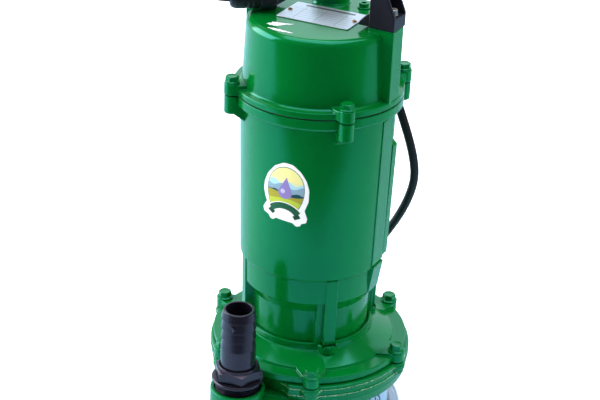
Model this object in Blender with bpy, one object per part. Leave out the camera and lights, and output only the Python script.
"""Submersible drainage pump: cast aluminium motor, cover and volute on a perforated steel strainer.

Units are metres, +Z up. The pump's axis is the Z axis, and its base pan rests on Z = 0.
The carry handle runs along X. The discharge, with its hose barb, is on the -Y side.
"""

import bmesh
import bpy
from math import cos, hypot, pi, radians, sin
from mathutils import Matrix, Vector

for old in list(bpy.data.objects):
    bpy.data.objects.remove(old, do_unlink=True)

# Driving dimensions
GAP = 0.0003            # clearance between pieces that touch
SEAM_Z = 0.3550         # joint between the motor housing and its top cover
FLANGE_R = 0.0800       # the two joint flanges
FLANGE_BOLT_R = 0.0855  # pitch radius of the four flange bolts
FLANGE_BOLT_AZ = (45, 135, 225, 315)
COVER_TOP_Z = 0.4250
BAND_TOP_Z = 0.1850     # groove between the motor body and the band below it
NECK_BOTTOM_Z = 0.1091
NECK_R = 0.0583
PLATE_R = 0.0971        # round cover plate of the pump chamber
PLATE_TOP_Z = 0.0946
PLATE_BOTTOM_Z = 0.0880
PLATE_BOLT_R = 0.0985   # pitch radius of the six chamber bolts
PLATE_BOLT_AZ = (0, 60, 120, 180, 240, 300)
GASKET_THICK = 0.0008
CASING_TOP_Z = PLATE_BOTTOM_Z - GASKET_THICK - 2 * GAP
CASING_BOTTOM_Z = 0.0400
CASING_R = 0.0980       # at the tongue, where the spiral starts
SPIRAL_GROWTH = 0.0090  # how far the casing has widened at the outlet
OUTLET_AZ = -98
TONGUE_AZ = -140
DISCHARGE = (-0.0145, -0.1150)
BOSS_R = 0.0248
BOSS_TOP_Z = 0.0765
THREAD_R = 0.0209       # a 1 1/4 inch pipe thread
HOSE_BORE_R = 0.0136
BARB_TOP_Z = 0.1660
STRAINER_R = 0.0820
PAN_R = 0.0975
PAN_SHEET = 0.0015
HANDLE_Y = -0.0020      # the handle and its columns stand a little in front of the axis
COLUMN_HALF = 0.0110
COLUMN_X = 0.0790
PAD_TOP_Z = 0.4284      # top of the two pads that carry the handle
GRIP_TOP_Z = 0.5000
GRIP_UNDER_Z = 0.4760
CORD_D = 0.0087         # rubber sheathed three-core cable
COIL_CENTRE = (-0.0940, 0.1860)
COIL_MEAN_R = 0.0540
COIL_HALF_WIDTH = 0.0180
COIL_HEIGHT = 0.0470
PLUG_AZ = 195           # where on the coil the plug lies
BOOT_AZ = 215           # direction in which the cable leaves the handle's left foot
BOOT_START = Vector((-0.0540, -0.0205, 0.4410))
BOOT_R = 0.0110
BOOT_LENGTH = 0.0280

FLANGE_LUG_TOP_Z = 0.3655
CHAMBER_LUG_TOP_Z = 0.0976
RIB_WIDTH = 0.0120
NAMEPLATE_SIZE = (0.0720, 0.0450, 0.0008)
NAMEPLATE_CENTRE = (0.0010, -0.0020)
NAMEPLATE_TURN = 2      # degrees
NAMEPLATE_RIVETS = {"left": (-0.0312, -0.0040), "right": (0.0336, -0.0010)}
CABLE_BOSS = (-0.0130, 0.0430)
VENT_PLUG_PLACE = (0.0226, 0.0404)
POCKET_FLOOR_Z = 0.4400
SCREW_X = 0.0690
COLLAR_R = 0.0120
COLLAR_LENGTH = 0.0150

ROUND = 40              # sides of the large turned pieces
SMALL_ROUND = 20
STAND_UP = Matrix.Rotation(pi / 2, 4, "X")    # lays an extrusion's depth along Y
LIE_ALONG_X = Matrix.Rotation(pi / 2, 4, "Y")


# Materials
def hex_to_linear(code):
    """An sRGB hex colour as linear red, green, blue and alpha."""
    channels = [int(code[i:i + 2], 16) / 255 for i in (1, 3, 5)]
    linear = [c / 12.92 if c <= 0.04045 else ((c + 0.055) / 1.055) ** 2.4 for c in channels]
    return (*linear, 1.0)


def finish(name, code, roughness, metallic=0.0):
    """A plain surface of one colour."""
    material = bpy.data.materials.new(name)
    material.use_nodes = True
    shader = material.node_tree.nodes["Principled BSDF"]
    shader.inputs["Base Color"].default_value = hex_to_linear(code)
    shader.inputs["Roughness"].default_value = roughness
    shader.inputs["Metallic"].default_value = metallic
    material.diffuse_color = hex_to_linear(code)
    return material


GREEN_ENAMEL = finish("green_enamel_on_cast_aluminium", "#007A3C", 0.28)
BLACK_NYLON = finish("black_glass_filled_nylon", "#23252B", 0.45)
BLACK_RUBBER = finish("black_rubber", "#17181B", 0.55)
STAINLESS = finish("polished_stainless_sheet", "#B9BCC2", 0.18, 1.0)
ZINC_STEEL = finish("zinc_plated_steel", "#A7A8A6", 0.35, 1.0)
ALUMINIUM = finish("satin_aluminium_plate", "#B8BAC4", 0.40, 1.0)
BRASS = finish("brass_rivet", "#A8763C", 0.35, 1.0)
GASKET_PAPER = finish("dark_gasket_board", "#123A26", 0.80)


# Shape helpers
def make_object(name, bm, material, smooth=True):
    """Turn a bmesh into a scene object, smooth where its faces meet at less than 40 degrees."""
    bmesh.ops.recalc_face_normals(bm, faces=bm.faces)
    mesh = bpy.data.meshes.new(name)
    bm.to_mesh(mesh)
    bm.free()
    mesh.materials.append(material)
    item = bpy.data.objects.new(name, mesh)
    bpy.context.collection.objects.link(item)
    if smooth:
        mesh.shade_smooth()
        mesh.set_sharp_from_angle(angle=radians(40))
    return item


def turned(profile, sides=ROUND, closed=False):
    """Spin an outline of (radius, height) points about Z. A closed outline makes a ring."""
    bm = bmesh.new()
    points = [bm.verts.new((r, 0.0, z)) for r, z in profile]
    pairs = list(zip(points, points[1:]))
    if closed:
        pairs.append((points[-1], points[0]))
    edges = [bm.edges.new(pair) for pair in pairs]
    bmesh.ops.spin(bm, geom=points + edges, cent=(0, 0, 0), axis=(0, 0, 1),
                   angle=2 * pi, steps=sides, use_merge=True)
    bmesh.ops.remove_doubles(bm, verts=bm.verts, dist=1e-6)
    bmesh.ops.recalc_face_normals(bm, faces=bm.faces)
    return bm


def extruded(outline, low, high):
    """Extrude a flat outline of (x, y) points from one height to another."""
    bm = bmesh.new()
    face = bm.faces.new([bm.verts.new((x, y, low)) for x, y in outline])
    lifted = bmesh.ops.extrude_face_region(bm, geom=[face])
    tops = [v for v in lifted["geom"] if isinstance(v, bmesh.types.BMVert)]
    bmesh.ops.translate(bm, verts=tops, vec=(0, 0, high - low))
    bmesh.ops.recalc_face_normals(bm, faces=bm.faces)
    return bm


def bevelled(bm, width, segments=1, keep=lambda edge: True):
    """Round the edges that keep() picks."""
    edges = [e for e in bm.edges if keep(e)]
    bmesh.ops.bevel(bm, geom=edges, offset=width, offset_type="OFFSET", segments=segments,
                    profile=0.5, affect="EDGES", clamp_overlap=True)
    return bm


def moved(bm, x=0.0, y=0.0, z=0.0, turn=0.0, tilt=None):
    """Tilt about an axis, turn about Z in degrees, then move."""
    matrix = Matrix.Translation((x, y, z)) @ Matrix.Rotation(radians(turn), 4, "Z")
    if tilt is not None:
        matrix = matrix @ tilt
    bm.transform(matrix)
    return bm


def circle_points(radius, sides, x=0.0, y=0.0):
    return [(x + radius * cos(2 * pi * i / sides), y + radius * sin(2 * pi * i / sides))
            for i in range(sides)]


def post(radius, low, high, x, y, sides=SMALL_ROUND):
    """An upright round post."""
    return extruded(circle_points(radius, sides, x, y), low, high)


def polar(radius, azimuth):
    return radius * cos(radians(azimuth)), radius * sin(radians(azimuth))


def box(low, high):
    (x0, y0, z0), (x1, y1, z1) = low, high
    return extruded([(x0, y0), (x1, y0), (x1, y1), (x0, y1)], z0, z1)


def radial_web(outline, width, azimuth):
    """A flat web: an outline of (radius, height) points, extruded sideways and turned to its azimuth."""
    return moved(extruded(outline, -width / 2, width / 2), turn=azimuth, tilt=STAND_UP)


def arc(centre_r, centre_z, radius, start, end, steps):
    """Points on an arc of an outline, from one angle to another in degrees."""
    angles = [radians(start + (end - start) * i / steps) for i in range(steps + 1)]
    return [(centre_r + radius * cos(a), centre_z + radius * sin(a)) for a in angles]


def combine(item, bm, operation):
    """Unite a shape with an object, or cut the shape out of it, and keep the result."""
    tool = make_object("tool", bm, item.data.materials[0], smooth=False)
    step = item.modifiers.new("combine", "BOOLEAN")
    step.operation = operation
    step.solver = "EXACT"
    step.object = tool
    graph = bpy.context.evaluated_depsgraph_get()
    result = bpy.data.meshes.new_from_object(item.evaluated_get(graph))
    item.modifiers.remove(step)
    spent = item.data
    item.data = result
    result.name = item.name
    bpy.data.meshes.remove(spent)
    bpy.data.objects.remove(tool, do_unlink=True)
    return item


def add(item, bm):
    return combine(item, bm, "UNION")


def cut(item, bm):
    return combine(item, bm, "DIFFERENCE")


def smooth_again(item):
    item.data.shade_smooth()
    item.data.set_sharp_from_angle(angle=radians(40))


# Base pan and strainer
def make_base_pan():
    """A pressed dish: flat bottom, sloping side and a rolled rim."""
    flat_r = 0.0845
    rim_z = 0.0095
    lower = [(0.0, 0.0), (flat_r, 0.0), (PAN_R - 0.0015, rim_z - 0.0020), (PAN_R, rim_z - 0.0012)]
    upper = [(PAN_R, rim_z), (PAN_R - 0.0020, rim_z), (flat_r, PAN_SHEET), (0.0, PAN_SHEET)]
    return make_object("base_pan", turned(lower + upper), STAINLESS)


def make_strainer_wall():
    """The perforated wall, here as a plain band of sheet."""
    low, high = PAN_SHEET + GAP, CASING_BOTTOM_Z - GAP
    inner = STRAINER_R - 0.0015
    ring = [(inner, low), (STRAINER_R, low), (STRAINER_R, high), (inner, high)]
    return make_object("strainer_wall", turned(ring, closed=True), STAINLESS)


# Volute casing
def spiral_factor(x, y):
    """How much wider the casing is at a point's azimuth than at the tongue."""
    azimuth = Vector((x, y)).angle_signed(Vector((1, 0))) * 180 / pi
    sweep = 360 - (OUTLET_AZ - TONGUE_AZ)
    along = (TONGUE_AZ - azimuth) % 360
    if along <= sweep:
        share = along / sweep
    else:
        share = 1 - (along - sweep) / (360 - sweep)
    return 1 + share * SPIRAL_GROWTH / CASING_R


def tangent_hull(first, second, steps=12):
    """The outline of a belt round two circles, each given as x, y and radius."""
    (x0, y0, r0), (x1, y1, r1) = first, second
    heading = Vector((x1 - x0, y1 - y0))
    base = heading.angle_signed(Vector((1, 0)))
    lean = pi / 2 + (r1 - r0) / heading.length
    points = []
    for i in range(steps + 1):
        a = base + lean + (2 * pi - 2 * lean) * i / steps
        points.append((x0 + r0 * cos(a), y0 + r0 * sin(a)))
    for i in range(steps + 1):
        a = base - lean + 2 * lean * i / steps
        points.append((x1 + r1 * cos(a), y1 + r1 * sin(a)))
    return points


def make_volute_casing():
    """The spiral pump chamber: open on top, a suction eye below, and a discharge boss in front."""
    outer = [(0.0870, CASING_TOP_Z), (0.0985, CASING_TOP_Z), (0.0993, CASING_TOP_Z - 0.0008),
             (0.0993, 0.0785), (0.1008, 0.0775), (0.1008, 0.0752), (0.0985, 0.0738)]
    belly = arc(CASING_R - 0.0200, 0.0600, 0.0200, 0, -78, 5)
    eye = [(0.0340, CASING_BOTTOM_Z), (0.0340, 0.0460), (0.0870, 0.0460)]
    bm = turned(outer + belly + [(0.0790, CASING_BOTTOM_Z)] + eye, closed=True)
    for v in bm.verts:
        if hypot(v.co.x, v.co.y) > 0.0875:
            factor = spiral_factor(v.co.x, v.co.y)
            v.co.x *= factor
            v.co.y *= factor
    casing = make_object("volute_casing", bm, GREEN_ENAMEL)

    arm_low, arm_high = CASING_BOTTOM_Z + 0.0004, 0.0715
    arm = extruded(tangent_hull((*DISCHARGE, BOSS_R - 0.0008), (0.0400, -0.0720, 0.0210)),
                   arm_low, arm_high)
    bevelled(arm, 0.0060, 2, keep=lambda e: abs(e.verts[0].co.z - e.verts[1].co.z) < 1e-6)
    add(casing, arm)
    recess = tangent_hull((*DISCHARGE, BOSS_R + 0.0014), (0.0200, -0.1080, 0.0160))
    cut(casing, extruded(recess, arm_high + 0.0003, CASING_TOP_Z + 0.0010))
    add(casing, post(BOSS_R, CASING_BOTTOM_Z + 0.0060, BOSS_TOP_Z, *DISCHARGE, sides=32))
    for azimuth in PLATE_BOLT_AZ:
        add(casing, post(0.0063, 0.0700, CASING_TOP_Z, *polar(PLATE_BOLT_R, azimuth), sides=16))

    cut(casing, post(0.0868, 0.0462, CASING_TOP_Z + 0.0010, 0.0, 0.0, sides=ROUND))
    cut(casing, post(THREAD_R + GAP, 0.0580, BOSS_TOP_Z + 0.0010, *DISCHARGE, sides=32))
    cut(casing, post(0.0150, 0.0480, 0.0590, *DISCHARGE, sides=24))
    inner = Vector((0.0250, -0.0650))
    start = Vector(DISCHARGE)
    run = inner - start
    passage = extruded(circle_points(0.0085, 16), 0.0, run.length)
    moved(passage, start.x, start.y, 0.0575, turn=run.angle_signed(Vector((1, 0))) * 180 / pi,
          tilt=LIE_ALONG_X)
    cut(casing, passage)
    for azimuth in PLATE_BOLT_AZ:
        x, y = polar(PLATE_BOLT_R, azimuth)
        cut(casing, post(0.0028, 0.0730, CASING_TOP_Z + 0.0010, x, y, sides=10))
    smooth_again(casing)
    return casing


def make_volute_gasket():
    low = CASING_TOP_Z + GAP
    inner, outer = 0.0880, 0.0948
    ring = [(inner, low), (outer, low), (outer, low + GASKET_THICK), (inner, low + GASKET_THICK)]
    return make_object("volute_gasket", turned(ring, closed=True), GASKET_PAPER)


# Round cover plate of the pump chamber
def make_pump_cover():
    """A cone shaped plate with a raised seat for the motor's neck and six bolt lugs."""
    seat_z = NECK_BOTTOM_Z - GAP
    profile = [(0.0, PLATE_BOTTOM_Z), (PLATE_R - 0.0006, PLATE_BOTTOM_Z),
               (PLATE_R, PLATE_BOTTOM_Z + 0.0006), (PLATE_R, PLATE_TOP_Z - 0.0010),
               (PLATE_R - 0.0010, PLATE_TOP_Z), (0.0845, PLATE_TOP_Z), (0.0828, 0.0968),
               (0.0625, 0.1050), (0.0622, seat_z), (0.0, seat_z)]
    plate = make_object("pump_cover", turned(profile), GREEN_ENAMEL)

    lip_top = 0.1118
    lip = make_object("lip", post(0.0622, 0.1040, lip_top, 0.0, 0.0, sides=ROUND), GREEN_ENAMEL)
    for azimuth in FLANGE_BOLT_AZ:
        add(lip, post(0.0100, 0.1035, lip_top, *polar(0.0610, azimuth), sides=16))
    cut(lip, post(NECK_R + 0.0014, seat_z, lip_top + 0.001, 0.0, 0.0, sides=ROUND))
    for azimuth in FLANGE_BOLT_AZ:
        slot = [(0.0500, seat_z), (0.0692, seat_z), (0.0692, 0.1200), (0.0500, 0.1200)]
        cut(lip, radial_web(slot, 0.0136, azimuth))
    ring = bmesh.new()
    ring.from_mesh(lip.data)
    bpy.data.objects.remove(lip, do_unlink=True)
    add(plate, ring)

    pad_top = CHAMBER_LUG_TOP_Z - 0.0004
    for azimuth in PLATE_BOLT_AZ:
        x, y = polar(PLATE_BOLT_R, azimuth)
        wedge = [(0.0760, -0.0150), (0.0850, -0.0135), (0.0985, -0.0068),
                 (0.0985, 0.0068), (0.0850, 0.0135), (0.0760, 0.0150)]
        add(plate, moved(extruded(wedge, PLATE_BOTTOM_Z + 0.0020, pad_top), turn=azimuth))
        add(plate, post(0.0066, PLATE_BOTTOM_Z, CHAMBER_LUG_TOP_Z, x, y, sides=16))
    for azimuth in PLATE_BOLT_AZ:
        x, y = polar(PLATE_BOLT_R, azimuth)
        cut(plate, post(0.0033, PLATE_BOTTOM_Z - 0.001, CHAMBER_LUG_TOP_Z + 0.001, x, y, sides=10))
    smooth_again(plate)
    return plate


# Motor housing
def body_radius(z):
    """The housing tapers from the flange down to the band."""
    top_z, top_r, low_r = 0.3445, 0.0735, 0.0706
    return low_r + (top_r - low_r) * (z - BAND_TOP_Z) / (top_z - BAND_TOP_Z)


def make_motor_housing():
    top = SEAM_Z - GASKET_THICK - GAP
    flange_low = 0.3450
    profile = [(0.0, NECK_BOTTOM_Z), (NECK_R, NECK_BOTTOM_Z), (0.0599, 0.1468), (0.0606, 0.1482),
               (0.0647, 0.1576), (0.0678, 0.1585), (0.0683, BAND_TOP_Z - 0.0008), (0.0700, BAND_TOP_Z),
               (body_radius(BAND_TOP_Z), BAND_TOP_Z + 0.0009), (body_radius(0.2450), 0.2450),
               (body_radius(0.3400), 0.3400), (0.0738, 0.3432), (0.0752, flange_low),
               (FLANGE_R - 0.0008, flange_low), (FLANGE_R, flange_low + 0.0008),
               (FLANGE_R, top), (0.0, top)]
    housing = make_object("motor_housing", turned(profile), GREEN_ENAMEL)

    lug_low = 0.3370
    for azimuth in FLANGE_BOLT_AZ:
        x, y = polar(FLANGE_BOLT_R, azimuth)
        gusset = [(0.0680, top), (FLANGE_BOLT_R, top), (FLANGE_BOLT_R, lug_low),
                  (0.0735, 0.3270), (0.0680, 0.3270)]
        add(housing, radial_web(gusset, RIB_WIDTH, azimuth))
        add(housing, post(0.0073, lug_low, top, x, y))
        rib = [(0.0500, 0.1094), (0.0655, 0.1094), (0.0682, 0.1130), (0.0692, 0.1830),
               (0.0680, 0.1845), (0.0500, 0.1845)]
        add(housing, radial_web(rib, RIB_WIDTH, azimuth))
        step = [(0.0500, 0.1125), (0.0622, 0.1125), (0.0638, 0.1595), (0.0500, 0.1595)]
        add(housing, moved(radial_web(step, 0.0075, azimuth), *polar(0.0090, azimuth - 90)))
        cut(housing, post(0.0031, lug_low + 0.0040, top + 0.001, x, y, sides=10))

    for azimuth in (0, 180):
        pad = [(0.0620, 0.1890), (0.0738, 0.1890), (0.0758, 0.3330), (0.0620, 0.3330)]
        web = radial_web(pad, 0.0225, azimuth)
        bevelled(web, 0.0045, 2, keep=lambda e: abs(e.verts[0].co.y - e.verts[1].co.y) < 1e-5
                 and abs(e.verts[0].co.z - e.verts[1].co.z) < 0.003)
        add(housing, moved(web, y=0.0012))
    smooth_again(housing)
    return housing


def make_housing_gasket():
    low = SEAM_Z - GASKET_THICK
    ring = [(0.0700, low), (FLANGE_R - 0.0006, low), (FLANGE_R - 0.0006, SEAM_Z), (0.0700, SEAM_Z)]
    return make_object("housing_gasket", turned(ring, closed=True), GASKET_PAPER)


# Top cover
def make_top_cover():
    """The bell over the motor's upper end, with two handle columns and a round cable boss."""
    bottom = SEAM_Z + GAP
    ring_top = 0.3610
    crown = arc(0.0607, 0.4185, 0.0065, 0, 90, 4)
    profile = ([(0.0, bottom), (FLANGE_R, bottom), (FLANGE_R, ring_top - 0.0014),
                (FLANGE_R - 0.0012, ring_top), (0.0735, ring_top), (0.0714, 0.3630),
                (0.0703, 0.3750), (0.0682, 0.4090)] + crown + [(0.0, COVER_TOP_Z)])
    cover = make_object("top_cover", turned(profile), GREEN_ENAMEL)

    column = [(0.0590, ring_top - 0.0030), (COLUMN_X, ring_top - 0.0030), (COLUMN_X, PAD_TOP_Z),
              (0.0540, PAD_TOP_Z), (0.0540, 0.4170), (0.0590, 0.4170)]
    for azimuth in (0, 180):
        shape = radial_web(column, 2 * COLUMN_HALF + 0.0030, azimuth)
        add(cover, moved(shape, y=HANDLE_Y))

    web_top = FLANGE_LUG_TOP_Z - 0.0010
    for azimuth in FLANGE_BOLT_AZ:
        x, y = polar(FLANGE_BOLT_R, azimuth)
        web = [(0.0670, bottom), (FLANGE_BOLT_R, bottom), (FLANGE_BOLT_R, web_top), (0.0670, web_top)]
        add(cover, radial_web(web, 0.0130, azimuth))
        add(cover, post(0.0076, bottom, FLANGE_LUG_TOP_Z, x, y))
        cut(cover, post(0.0035, bottom - 0.001, FLANGE_LUG_TOP_Z + 0.001, x, y, sides=10))

    boss = post(0.0180, 0.4200, 0.4470, *CABLE_BOSS, sides=32)
    bevelled(boss, 0.0015, 1, keep=lambda e: min(v.co.z for v in e.verts) > 0.4460)
    add(cover, boss)
    smooth_again(cover)
    return cover


# Bolts
def make_bolt(name, corner_r, head_high, washer_r, shank_r, shank_low, material):
    """A flanged hexagon bolt that stands with its washer face at Z = 0."""
    washer = 0.0012
    profile = [(0.0, shank_low), (shank_r, shank_low), (shank_r, 0.0), (washer_r, 0.0),
               (washer_r, washer), (0.0, washer)]
    bolt = make_object(name, turned(profile, sides=12), material)
    add(bolt, extruded(circle_points(corner_r, 6), washer / 2, head_high))
    smooth_again(bolt)
    return bolt


def place_copies(first, names, radius, azimuths, z, twist):
    """Put the first bolt and its copies round a pitch circle."""
    for name, azimuth in zip(names, azimuths):
        item = first
        if name != first.name:
            item = bpy.data.objects.new(name, first.data)
            bpy.context.collection.objects.link(item)
        x, y = polar(radius, azimuth)
        item.location = (x, y, z)
        item.rotation_euler = (0, 0, radians(azimuth + twist))


def make_bolts():
    names = [f"flange_bolt_{i}" for i in range(1, 5)]
    upper = make_bolt(names[0], 0.0056, 0.0052, 0.0064, 0.0028, -0.0240, GREEN_ENAMEL)
    place_copies(upper, names, FLANGE_BOLT_R, FLANGE_BOLT_AZ, FLANGE_LUG_TOP_Z + GAP, 12)

    names = [f"cover_bolt_{i}" for i in range(1, 7)]
    lower = make_bolt(names[0], 0.0051, 0.0052, 0.0059, 0.0025, -0.0235, GREEN_ENAMEL)
    place_copies(lower, names, PLATE_BOLT_R, PLATE_BOLT_AZ, CHAMBER_LUG_TOP_Z + GAP, 20)


# Nameplate, rivets and vent plug
def make_nameplate():
    long, wide, thick = NAMEPLATE_SIZE
    low = COVER_TOP_Z + GAP
    plate = box((-long / 2, -wide / 2, low), (long / 2, wide / 2, low + thick))
    item = make_object("nameplate", plate, ALUMINIUM, smooth=False)
    item.location = (*NAMEPLATE_CENTRE, 0.0)
    item.rotation_euler = (0, 0, radians(NAMEPLATE_TURN))
    for side, (x, y) in NAMEPLATE_RIVETS.items():
        dome = [(0.0, 0.0), (0.0020, 0.0), (0.0018, 0.0006), (0.0010, 0.0011), (0.0, 0.0012)]
        rivet = make_object(f"nameplate_rivet_{side}", turned(dome, sides=12), BRASS)
        rivet.location = (x, y, low + thick + GAP)


def make_vent_plug():
    high = 0.0050
    profile = [(0.0, 0.0), (0.0047, 0.0), (0.0047, high - 0.0006), (0.0041, high),
               (0.0027, high), (0.0027, 0.0018), (0.0, 0.0018)]
    plug = make_object("vent_plug", turned(profile, sides=18), GREEN_ENAMEL)
    plug.location = (*VENT_PLUG_PLACE, COVER_TOP_Z + GAP)


# Carry handle
def handle_outline():
    """The handle seen from the front: one bow with a foot at each end."""
    foot_low = PAD_TOP_Z + GAP
    right = [(0.0540, foot_low), (0.0788, foot_low), (0.0788, 0.4415), (0.0640, 0.4755)]
    crown = arc(0.0440, GRIP_TOP_Z - 0.0190, 0.0190, 10, 90, 4)
    under = arc(0.0430, GRIP_UNDER_Z - 0.0110, 0.0110, 90, 0, 3)
    half_outer = right + crown
    mirrored_outer = [(-x, z) for x, z in reversed(half_outer)]
    left_under = [(-x, z) for x, z in reversed(under)]
    return half_outer + mirrored_outer + left_under + under


def make_carry_handle():
    """A moulded bow with open pockets over the screws, a toe at each foot and a collar for the cable."""
    half = COLUMN_HALF
    bow = extruded(handle_outline(), -half, half)
    moved(bow, y=HANDLE_Y, tilt=STAND_UP)
    handle = make_object("carry_handle", bow, BLACK_NYLON)

    foot_low = PAD_TOP_Z + GAP
    for side in (-1, 1):
        toe = [(0.0560, -half), (0.0560, half), (0.0455, half * 0.80), (0.0420, half * 0.45),
               (0.0420, -half * 0.45), (0.0455, -half * 0.80)]
        block = extruded([(side * x, y + HANDLE_Y) for x, y in toe], foot_low, foot_low + 0.0085)
        bevelled(block, 0.0025, 2, keep=lambda e: min(v.co.z for v in e.verts) > foot_low + 0.008)
        add(handle, block)
        wall = 0.0030
        pocket = [(0.0605, POCKET_FLOOR_Z), (0.0850, POCKET_FLOOR_Z), (0.0850, 0.4790), (0.0605, 0.4740)]
        hollow = extruded([(side * x, z) for x, z in pocket], -half + wall, half - wall)
        moved(hollow, y=HANDLE_Y, tilt=STAND_UP)
        cut(handle, hollow)

    collar = extruded(circle_points(COLLAR_R, 24), -COLLAR_LENGTH, 0.0)
    moved(collar, *BOOT_START, turn=BOOT_AZ, tilt=LIE_ALONG_X)
    add(handle, collar)
    clear = extruded(circle_points(COLLAR_R + 2 * GAP, 24), 0.0, 0.0400)
    moved(clear, *BOOT_START, turn=BOOT_AZ, tilt=LIE_ALONG_X)
    cut(handle, clear)
    smooth_again(handle)
    return handle


def make_handle_screws():
    """A cheese head screw in each pocket."""
    head = [(0.0, 0.0), (0.0058, 0.0), (0.0058, 0.0012), (0.0042, 0.0012), (0.0042, 0.0085),
            (0.0036, 0.0092), (0.0022, 0.0092), (0.0022, 0.0055), (0.0, 0.0055)]
    for name, x in (("handle_screw_right", SCREW_X), ("handle_screw_left", -SCREW_X)):
        screw = make_object(name, turned(head, sides=16), ZINC_STEEL)
        screw.location = (x, HANDLE_Y, POCKET_FLOOR_Z + GAP)


# Hose barb
def make_hose_barb():
    """A moulded hose tail: pipe thread, collar, hexagon and four barbs."""
    x, y = DISCHARGE
    outer = [(HOSE_BORE_R, 0.0600), (0.0198, 0.0600), (THREAD_R, 0.0612), (THREAD_R, 0.0780),
             (0.0200, 0.0787), (THREAD_R, 0.0796), (0.0200, 0.0810), (0.0240, 0.0818),
             (0.0245, 0.0826), (0.0245, 0.0856), (0.0238, 0.0864), (0.0187, 0.0868),
             (0.0185, 0.1015), (0.0172, 0.1040), (0.0163, 0.1045), (0.0163, 0.1210)]
    barbs = []
    for i in range(4):
        low = BARB_TOP_Z - 0.0380 + 0.0100 * i
        barbs += [(0.0158, low - 0.0002), (0.0168, low), (0.0158, low + 0.0092)]
    tip = [(0.0150, BARB_TOP_Z), (HOSE_BORE_R + 0.0006, BARB_TOP_Z), (HOSE_BORE_R, BARB_TOP_Z - 0.001)]
    profile = outer + [(0.0158, 0.1216)] + barbs + tip
    barb = make_object("hose_barb", turned(profile, sides=28, closed=True), BLACK_NYLON)
    nut = extruded(circle_points(0.0206, 6), 0.0866, 0.1005)
    moved(nut, turn=-9)
    bevelled(nut, 0.0012, 1, keep=lambda e: min(v.co.z for v in e.verts) > 0.1000)
    hole = make_object("nut", nut, BLACK_NYLON)
    cut(hole, post(0.0175, 0.0800, 0.1100, 0.0, 0.0, sides=28))
    ring = bmesh.new()
    ring.from_mesh(hole.data)
    bpy.data.objects.remove(hole, do_unlink=True)
    add(barb, ring)
    smooth_again(barb)
    barb.location = (x, y, 0.0)
    return barb


# Cable
def make_cable_boot():
    """The tapered rubber sleeve round the cable where it leaves the handle's left foot."""
    profile = [(0.0, GAP), (BOOT_R, GAP), (BOOT_R, BOOT_LENGTH - 0.0055)]
    profile += arc(BOOT_R - 0.0045, BOOT_LENGTH - 0.0055, 0.0045, 20, 90, 3)
    profile += [(0.0, BOOT_LENGTH - 0.0010)]
    bm = turned(profile, sides=24)
    moved(bm, *BOOT_START, turn=BOOT_AZ, tilt=LIE_ALONG_X)
    return make_object("cable_boot", bm, BLACK_RUBBER)


CORD_ROUTE = [
    (-0.0772, -0.0367, 0.4410), (-0.0862, -0.0422, 0.4417), (-0.0990, -0.0455, 0.4427),
    (-0.1141, -0.0446, 0.4430), (-0.1299, -0.0364, 0.4420), (-0.1407, -0.0223, 0.4397),
    (-0.1445, -0.0050, 0.4362), (-0.1407, 0.0123, 0.4315), (-0.1299, 0.0270, 0.4257),
    (-0.1140, 0.0405, 0.4183), (-0.0961, 0.0520, 0.4093), (-0.0778, 0.0612, 0.3985),
    (-0.0586, 0.0692, 0.3870), (-0.0390, 0.0758, 0.3767), (-0.0191, 0.0812, 0.3680),
    (0.0000, 0.0854, 0.3605), (0.0155, 0.0872, 0.3518), (0.0290, 0.0870, 0.3398),
    (0.0400, 0.0860, 0.3250), (0.0497, 0.0850, 0.3060), (0.0597, 0.0868, 0.2780),
    (0.0642, 0.0899, 0.2550), (0.0641, 0.0922, 0.2370), (0.0592, 0.0941, 0.2170),
    (0.0500, 0.0975, 0.1950), (0.0368, 0.1037, 0.1710), (0.0215, 0.1105, 0.1465),
    (0.0058, 0.1158, 0.1200), (-0.0063, 0.1197, 0.0925), (-0.0153, 0.1232, 0.0670),
    (-0.0208, 0.1280, 0.0455), (-0.0235, 0.1342, 0.0287), (-0.0240, 0.1412, 0.0178),
    (-0.0234, 0.1497, 0.0102), (-0.0219, 0.1592, 0.0060), (-0.0198, 0.1690, 0.0047)]


def smooth_route(points, spacing):
    """Even points along one smooth curve through the given points."""
    knots = [Vector(p) for p in points]
    knots = [2 * knots[0] - knots[1]] + knots + [2 * knots[-1] - knots[-2]]
    fine = []
    steps = 12
    for a, b, c, d in zip(knots, knots[1:], knots[2:], knots[3:]):
        for i in range(steps):
            t = i / steps
            fine.append(0.5 * (2 * b + (c - a) * t + (2 * a - 5 * b + 4 * c - d) * t ** 2
                               + (3 * b - a - 3 * c + d) * t ** 3))
    fine.append(knots[-2])
    total = sum((q - p).length for p, q in zip(fine, fine[1:]))
    count = round(total / spacing)
    even, walked, target = [fine[0]], 0.0, total / count
    for p, q in zip(fine, fine[1:]):
        length = (q - p).length
        while walked + length >= target - 1e-9 and len(even) < count:
            even.append(p.lerp(q, (target - walked) / length))
            target += total / count
        walked += length
    return even + [fine[-1]]


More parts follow.
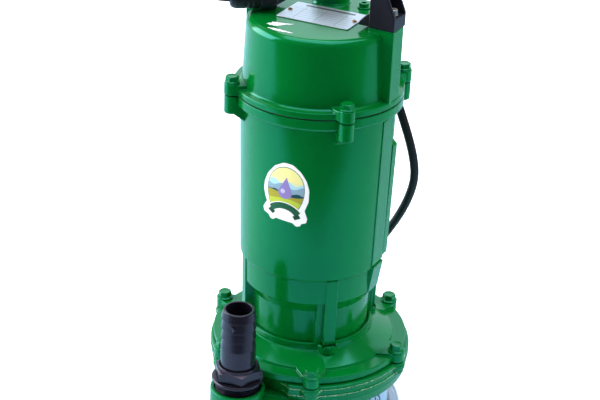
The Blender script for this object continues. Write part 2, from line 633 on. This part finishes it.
def make_power_cord():
    """The stretch of cable from the boot, round the back of the flange and down to the coil."""
    curve = bpy.data.curves.new("power_cord", "CURVE")
    curve.dimensions = "3D"
    curve.bevel_depth = CORD_D / 2
    curve.bevel_resolution = 2
    curve.use_fill_caps = True
    spline = curve.splines.new("POLY")
    points = smooth_route(CORD_ROUTE, 2.2 * CORD_D)
    spline.points.add(len(points) - 1)
    for slot, point in zip(spline.points, points):
        slot.co = (*point, 1.0)
    curve.materials.append(BLACK_RUBBER)
    cord = bpy.data.objects.new("power_cord", curve)
    bpy.context.collection.objects.link(cord)


def make_cord_coil():
    """The outer shape of the wound cable, as one ring that lies behind the pump."""
    inner, outer, high = COIL_MEAN_R - COIL_HALF_WIDTH, COIL_MEAN_R + COIL_HALF_WIDTH, COIL_HEIGHT
    low, ease = 0.0, 0.0040
    ring = [(inner + ease, low), (outer - ease, low), (outer, low + ease), (outer, high - ease),
            (outer - ease, high), (inner + ease, high), (inner, high - ease), (inner, low + ease)]
    coil = make_object("cord_coil", turned(ring, sides=32, closed=True), BLACK_RUBBER)
    coil.location = (*COIL_CENTRE, 0.0)


def make_mains_plug():
    """A moulded two-pin plug that lies on top of the coil, in line with its last turn."""
    body_r = 0.0180
    profile = [(0.0, 0.0), (0.0175, 0.0), (body_r, 0.0010), (body_r, 0.0160), (0.0150, 0.0210),
               (0.0120, 0.0300), (0.0115, 0.0400), (0.0075, 0.0440), (0.0060, 0.0580), (0.0, 0.0580)]
    plug = make_object("mains_plug", turned(profile, sides=24), BLACK_RUBBER)
    for side in (-1, 1):
        add(plug, post(0.0024, -0.0190, 0.0020, side * 0.0095, 0.0, sides=10))
    smooth_again(plug)
    sit = Vector(COIL_CENTRE) + Vector(polar(COIL_MEAN_R, PLUG_AZ))
    lie = Matrix.Rotation(radians(PLUG_AZ + 90), 4, "Z") @ LIE_ALONG_X.inverted()
    plug.data.transform(Matrix.Translation((sit.x, sit.y, COIL_HEIGHT + GAP + body_r)) @ lie
                        @ Matrix.Translation((0, 0, -0.0150)))


def main():
    make_base_pan()
    make_strainer_wall()
    make_volute_casing()
    make_volute_gasket()
    make_pump_cover()
    make_motor_housing()
    make_housing_gasket()
    make_top_cover()
    make_bolts()
    make_nameplate()
    make_vent_plug()
    make_carry_handle()
    make_handle_screws()
    make_hose_barb()
    make_cable_boot()
    make_power_cord()
    make_cord_coil()
    make_mains_plug()


main()
